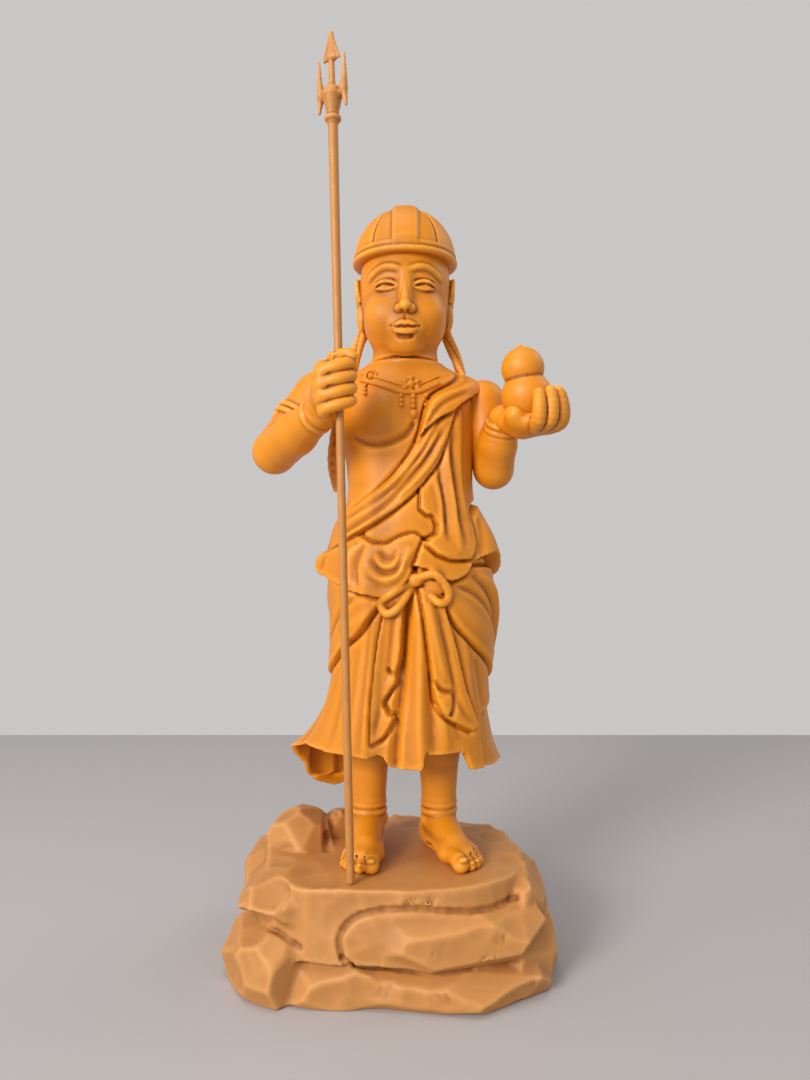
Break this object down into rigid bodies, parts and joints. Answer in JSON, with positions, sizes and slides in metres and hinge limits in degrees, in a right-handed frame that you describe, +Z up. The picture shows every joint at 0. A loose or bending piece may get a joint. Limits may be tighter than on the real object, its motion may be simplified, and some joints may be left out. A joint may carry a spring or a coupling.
{
  "type": "carved attendant figure",
  "caption": "Joined-block boxwood figure of a capped young attendant with a lift-out trident staff and gourd, pegged on a rock base.",
  "frame": {"origin": "centre of the underside of the rock base", "axes": "+Z up along the figure's height; the figure faces -Y; +X is the figure's left"},
  "size_m": [0.1013, 0.076, 0.271],
  "materials": {
    "boxwood": "hand-carved boxwood with a soft wax sheen",
    "staff_wood": "turned boxwood, scraped smooth",
    "peg_wood": "plain split dowel"
  },
  "bodies": {
    "base": {"rock_base": "boxwood"},
    "figure": {"trunk": "boxwood", "right_leg": "boxwood", "left_leg": "boxwood", "right_foot_peg": "peg_wood", "left_foot_peg": "peg_wood", "right_knee_peg": "peg_wood", "left_knee_peg": "peg_wood", "head": "boxwood", "cap": "boxwood", "right_hair_lock": "boxwood", "left_hair_lock": "boxwood", "right_arm": "boxwood", "right_hand": "boxwood", "left_arm": "boxwood", "left_hand": "boxwood", "right_shoulder_peg": "peg_wood", "left_shoulder_peg": "peg_wood", "right_wrist_peg": "peg_wood", "left_wrist_peg": "peg_wood", "scarf_tail": "boxwood", "gourd_peg": "peg_wood"},
    "gourd": {"held_gourd": "boxwood"},
    "staff": {"staff_shaft": "staff_wood", "trident_head": "staff_wood"}
  },
  "joints": [
    {"name": "figure_lift", "type": "slide", "parent": "base", "child": "figure", "axis": [0, 0, 1], "range_m": [0, 0.016]},
    {"name": "staff_draw", "type": "slide", "parent": "figure", "child": "staff", "axis": [-0.021, -0.026, 0.9994], "range_m": [0, 0.138]},
    {"name": "gourd_lift", "type": "slide", "parent": "figure", "child": "gourd", "axis": [-0.1386, 0, 0.9903], "range_m": [0, 0.024]}
  ]
}
